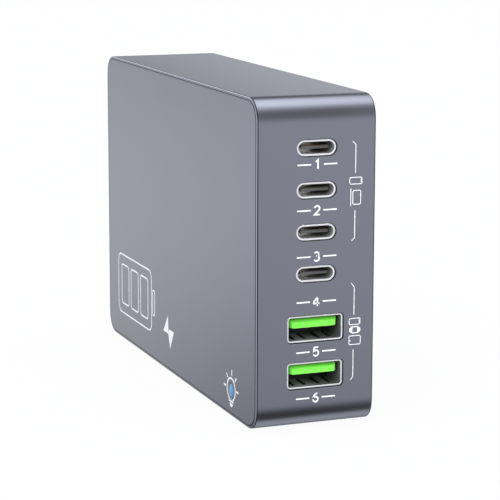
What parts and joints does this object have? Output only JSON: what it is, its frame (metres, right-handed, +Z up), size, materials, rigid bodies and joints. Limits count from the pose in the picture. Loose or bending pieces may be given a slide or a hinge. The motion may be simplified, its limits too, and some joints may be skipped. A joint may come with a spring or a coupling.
{
  "type": "desktop charger",
  "caption": "Flat upright desktop charger with oval and wide sockets down its narrow front, a wrapped metal frame, flush side panels and a lit window.",
  "frame": {"origin": "middle of the base, on the surface that the charger stands on", "axes": "+Z up, -Y the way the sockets face, -X the side with the lit window"},
  "size_m": [0.028, 0.109, 0.074],
  "materials": {
    "frame_metal": "satin anodised, gunmetal grey",
    "panel_metal": "satin anodised, gunmetal grey",
    "socket_shell": "bright nickel plated",
    "socket_plastic": "moulded, dark grey",
    "green_plastic": "moulded, bright green",
    "contact_gilt": "gilt contacts",
    "inlet_plastic": "moulded, black",
    "pin_plating": "nickel plated",
    "strap_metal": "tinned copper",
    "light_window": "clear rod lit blue",
    "light_chip": "light chip",
    "insulating_plastic": "moulded, black",
    "insulating_film": "die-cut film",
    "thermal_pad": "soft silicone",
    "board_laminate": "glass laminate, green mask",
    "dark_epoxy": "moulded epoxy",
    "filter_box": "yellow plastic box",
    "ferrite": "dark ferrite",
    "copper_wire": "enamelled copper",
    "winding_tape": "yellow tape",
    "bobbin_plastic": "moulded",
    "capacitor_sleeve": "shrink sleeve",
    "capacitor_can": "bare can",
    "disc_glaze": "blue coating",
    "spreader_metal": "bare sheet"
  },
  "bodies": {
    "root": {"bridge_rectifier": "dark_epoxy", "bridging_capacitor": "disc_glaze", "bulk_capacitor_front": "capacitor_sleeve", "bulk_capacitor_rear": "capacitor_sleeve", "choke_core": "ferrite", "choke_windings": "copper_wire", "filter_capacitor": "filter_box", "fuse": "dark_epoxy", "gap_pads": "thermal_pad", "heat_spreader": "spreader_metal", "inductor_bobbin": "bobbin_plastic", "inductor_core_lower": "ferrite", "inductor_core_upper": "ferrite", "inductor_winding": "copper_wire", "inlet_body": "inlet_plastic", "inlet_pins": "pin_plating", "inlet_straps": "strap_metal", "insulating_sheet": "insulating_film", "insulating_tray": "insulating_plastic", "left_side_panel": "panel_metal", "left_thermal_pad": "thermal_pad", "light_pipe": "light_window", "main_board": "board_laminate", "optocouplers": "dark_epoxy", "output_capacitors": "capacitor_can", "output_rectifiers": "dark_epoxy", "oval_port_1_contacts": "contact_gilt", "oval_port_1_shell": "socket_shell", "oval_port_1_tongue": "socket_plastic", "oval_port_2_contacts": "contact_gilt", "oval_port_2_shell": "socket_shell", "oval_port_2_tongue": "socket_plastic", "oval_port_3_contacts": "contact_gilt", "oval_port_3_shell": "socket_shell", "oval_port_3_tongue": "socket_plastic", "oval_port_4_contacts": "contact_gilt", "oval_port_4_shell": "socket_shell", "oval_port_4_tongue": "socket_plastic", "port_board": "board_laminate", "port_controllers": "dark_epoxy", "port_inductors": "ferrite", "power_switches": "dark_epoxy", "primary_controller": "dark_epoxy", "right_side_panel": "panel_metal", "right_thermal_pad": "thermal_pad", "status_light": "light_chip", "transformer_bobbin": "bobbin_plastic", "transformer_core_lower": "ferrite", "transformer_core_upper": "ferrite", "transformer_winding": "winding_tape", "wide_port_1_contacts": "contact_gilt", "wide_port_1_shell": "socket_shell", "wide_port_1_tongue": "green_plastic", "wide_port_2_contacts": "contact_gilt", "wide_port_2_shell": "socket_shell", "wide_port_2_tongue": "green_plastic", "wrap_frame": "frame_metal"}
  },
  "joints": []
}
